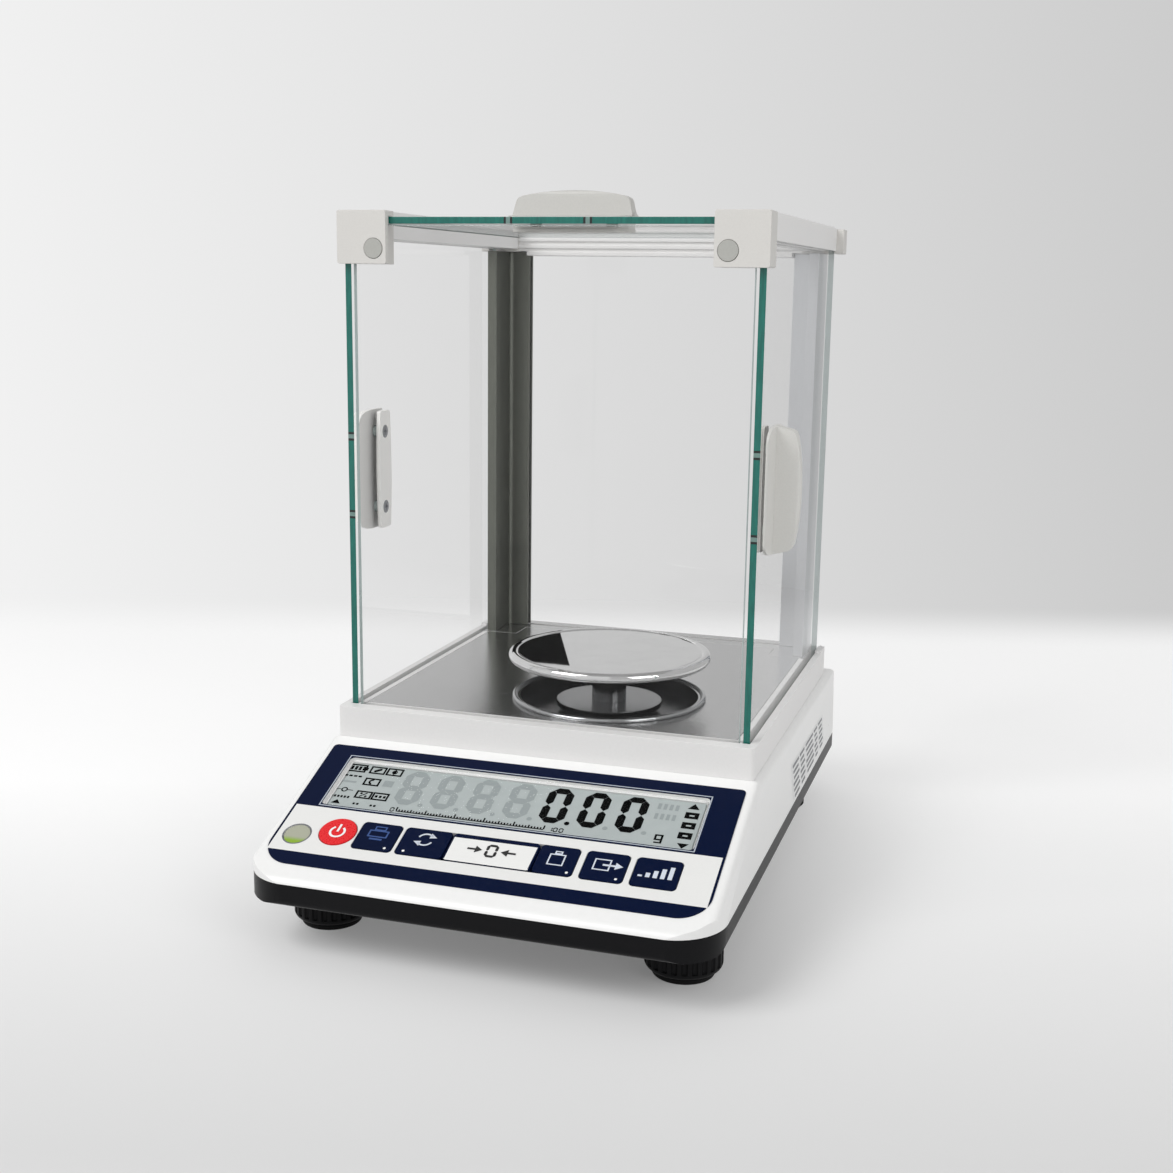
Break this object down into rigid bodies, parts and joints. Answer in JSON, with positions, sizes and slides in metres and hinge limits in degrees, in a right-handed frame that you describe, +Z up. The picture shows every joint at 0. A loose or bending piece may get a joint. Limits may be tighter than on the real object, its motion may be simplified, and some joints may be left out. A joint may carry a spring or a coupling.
{
  "type": "analytical balance",
  "caption": "Bench weighing balance with a sloped front panel, a round steel pan and a glass draft shield whose side and top panes slide back.",
  "frame": {"origin": "centre of the footprint of the whole object, on the bench surface", "axes": "+X to the user's right, +Y from the front panel to the back, +Z up"},
  "size_m": [0.2092, 0.3, 0.31],
  "materials": {
    "tray_plastic": "fine texture",
    "housing_plastic": "semi-gloss",
    "frame_plastic": "semi-gloss",
    "handle_plastic": "satin",
    "plug_plastic": "satin",
    "stainless_plate": "brushed",
    "ring_steel": "spun",
    "pan_steel": "polished",
    "carrier_metal": "satin",
    "column_aluminium": "anodised",
    "cell_aluminium": "milled",
    "bracket_steel": "plated",
    "screw_steel": "plated",
    "insert_brass": "plain",
    "pane_glass": "polished",
    "window_acrylic": "clear",
    "lcd_cell": "glass over a grey-green display",
    "overlay_film": "printed film",
    "key_navy": "satin",
    "key_white": "satin",
    "key_red": "gloss",
    "board_green": "solder mask",
    "connector_black": "moulded",
    "connector_metal": "plated",
    "vial_fluid": "clear over coloured fluid",
    "foot_rubber": "moulded",
    "foot_plastic": "moulded",
    "cable_grey": "flat cable"
  },
  "bodies": {
    "balance": {"lower_base": "tray_plastic", "upper_housing": "housing_plastic", "shield_base": "frame_plastic", "deck_plate": "stainless_plate", "draft_ring": "ring_steel", "load_cell": "cell_aluminium", "load_cell_bracket": "bracket_steel", "load_cell_bolts": "screw_steel", "main_board": "board_green", "display_board": "board_green", "lcd_module": "lcd_cell", "lcd_window": "window_acrylic", "keypad_overlay": "overlay_film", "level_vial": "vial_fluid", "dc_jack": "connector_black", "serial_port": "connector_metal", "thread_inserts": "insert_brass", "housing_screws": "screw_steel", "rear_feet": "foot_rubber", "ribbon_cable": "cable_grey", "column_left": "column_aluminium", "column_right": "column_aluminium", "rail_left": "frame_plastic", "rail_right": "frame_plastic", "rear_beam": "frame_plastic", "corner_cap_left": "frame_plastic", "corner_cap_right": "frame_plastic", "rear_cap_left": "frame_plastic", "rear_cap_right": "frame_plastic", "frame_screws": "screw_steel", "cap_plugs": "plug_plastic", "front_glass": "pane_glass", "rear_glass": "pane_glass", "pan_adapter": "cell_aluminium"},
    "door_left": {"door_glass_left": "pane_glass", "door_handle_left": "handle_plastic", "counter_plate_left": "handle_plastic", "handle_screws_left": "screw_steel"},
    "door_right": {"door_glass_right": "pane_glass", "door_handle_right": "handle_plastic", "counter_plate_right": "handle_plastic", "handle_screws_right": "screw_steel"},
    "door_top": {"door_glass_top": "pane_glass", "door_handle_top": "handle_plastic", "counter_plate_top": "handle_plastic", "handle_screws_top": "screw_steel"},
    "pan": {"weighing_pan": "pan_steel", "pan_carrier": "carrier_metal"},
    "key_power": {"key_power": "key_red"},
    "key_print": {"key_print": "key_navy"},
    "key_unit": {"key_unit": "key_navy"},
    "key_zero": {"key_zero": "key_white"},
    "key_cal": {"key_cal": "key_navy"},
    "key_mode": {"key_mode": "key_navy"},
    "key_range": {"key_range": "key_navy"},
    "foot_pad_left": {"foot_pad_left": "foot_rubber"},
    "foot_knob_left": {"foot_knob_left": "foot_plastic"},
    "foot_pad_right": {"foot_pad_right": "foot_rubber"},
    "foot_knob_right": {"foot_knob_right": "foot_plastic"}
  },
  "joints": [
    {"name": "door_left_slide", "type": "slide", "parent": "balance", "child": "door_left", "axis": [0, 1, 0], "range_m": [0, 0.12]},
    {"name": "door_right_slide", "type": "slide", "parent": "balance", "child": "door_right", "axis": [0, 1, 0], "range_m": [0, 0.12]},
    {"name": "door_top_slide", "type": "slide", "parent": "balance", "child": "door_top", "axis": [0, 1, 0], "range_m": [0, 0.12]},
    {"name": "pan_deflection", "type": "slide", "parent": "balance", "child": "pan", "axis": [0, 0, -1], "range_m": [0, 0.0005], "stiffness_N_per_m": 9000},
    {"name": "key_power_press", "type": "slide", "parent": "balance", "child": "key_power", "axis": [0, 0.3658, -0.9307], "range_m": [0, 0.0005], "stiffness_N_per_m": 1500},
    {"name": "key_print_press", "type": "slide", "parent": "balance", "child": "key_print", "axis": [0, 0.3658, -0.9307], "range_m": [0, 0.0005], "stiffness_N_per_m": 1500},
    {"name": "key_unit_press", "type": "slide", "parent": "balance", "child": "key_unit", "axis": [0, 0.3658, -0.9307], "range_m": [0, 0.0005], "stiffness_N_per_m": 1500},
    {"name": "key_zero_press", "type": "slide", "parent": "balance", "child": "key_zero", "axis": [0, 0.3658, -0.9307], "range_m": [0, 0.0005], "stiffness_N_per_m": 1500},
    {"name": "key_cal_press", "type": "slide", "parent": "balance", "child": "key_cal", "axis": [0, 0.3658, -0.9307], "range_m": [0, 0.0005], "stiffness_N_per_m": 1500},
    {"name": "key_mode_press", "type": "slide", "parent": "balance", "child": "key_mode", "axis": [0, 0.3658, -0.9307], "range_m": [0, 0.0005], "stiffness_N_per_m": 1500},
    {"name": "key_range_press", "type": "slide", "parent": "balance", "child": "key_range", "axis": [0, 0.3658, -0.9307], "range_m": [0, 0.0005], "stiffness_N_per_m": 1500},
    {"name": "foot_left_extension", "type": "slide", "parent": "balance", "child": "foot_pad_left", "axis": [0, 0, 1], "range_m": [-0.005, 0.001]},
    {"name": "foot_left_turn", "type": "hinge", "parent": "foot_pad_left", "child": "foot_knob_left", "pos_m": [-0.078, -0.107, 0.01], "axis": [0, 0, 1], "range_deg": [-1800, 360]},
    {"name": "foot_right_extension", "type": "slide", "parent": "balance", "child": "foot_pad_right", "axis": [0, 0, 1], "range_m": [-0.005, 0.001]},
    {"name": "foot_right_turn", "type": "hinge", "parent": "foot_pad_right", "child": "foot_knob_right", "pos_m": [0.078, -0.107, 0.01], "axis": [0, 0, 1], "range_deg": [-1800, 360]}
  ],
  "couplings": [
    {"joint": "foot_left_extension", "follows": "foot_left_turn", "m_per_rad": 0.00015915},
    {"joint": "foot_right_extension", "follows": "foot_right_turn", "m_per_rad": 0.00015915}
  ]
}
